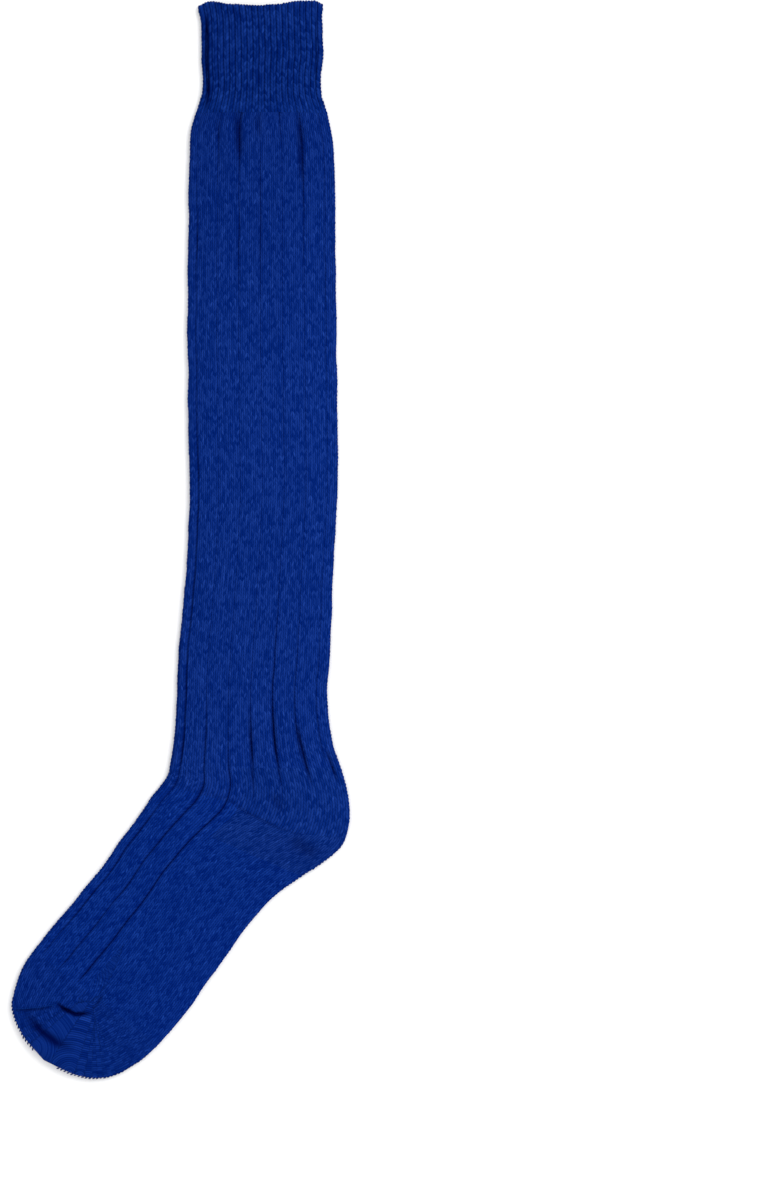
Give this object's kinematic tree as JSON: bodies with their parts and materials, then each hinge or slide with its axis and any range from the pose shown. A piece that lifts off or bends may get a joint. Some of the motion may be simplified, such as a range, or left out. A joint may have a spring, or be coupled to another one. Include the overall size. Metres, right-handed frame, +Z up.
{
  "type": "knee sock",
  "caption": "Knee-length sock in rib knit lying flat, with a fine-ribbed cuff, a turned heel, a plain sole and a closed toe.",
  "frame": {"origin": "middle of the flat sock's box, on the surface that it lies on", "axes": "+Y along the leg towards the cuff's mouth, +X towards the heel's side, +Z up from the surface; the foot runs towards -X and -Y"},
  "size_m": [0.2084, 0.6668, 0.0112],
  "materials": {
    "cuff": "fine rib knit, matt",
    "leg": "wide rib knit, matt",
    "heel": "plain knit, matt",
    "foot": "rib and plain knit, matt",
    "toe": "plain knit, matt"
  },
  "bodies": {
    "root": {"cuff": "cuff", "leg": "leg", "heel": "heel", "foot": "foot", "toe": "toe"}
  },
  "joints": []
}
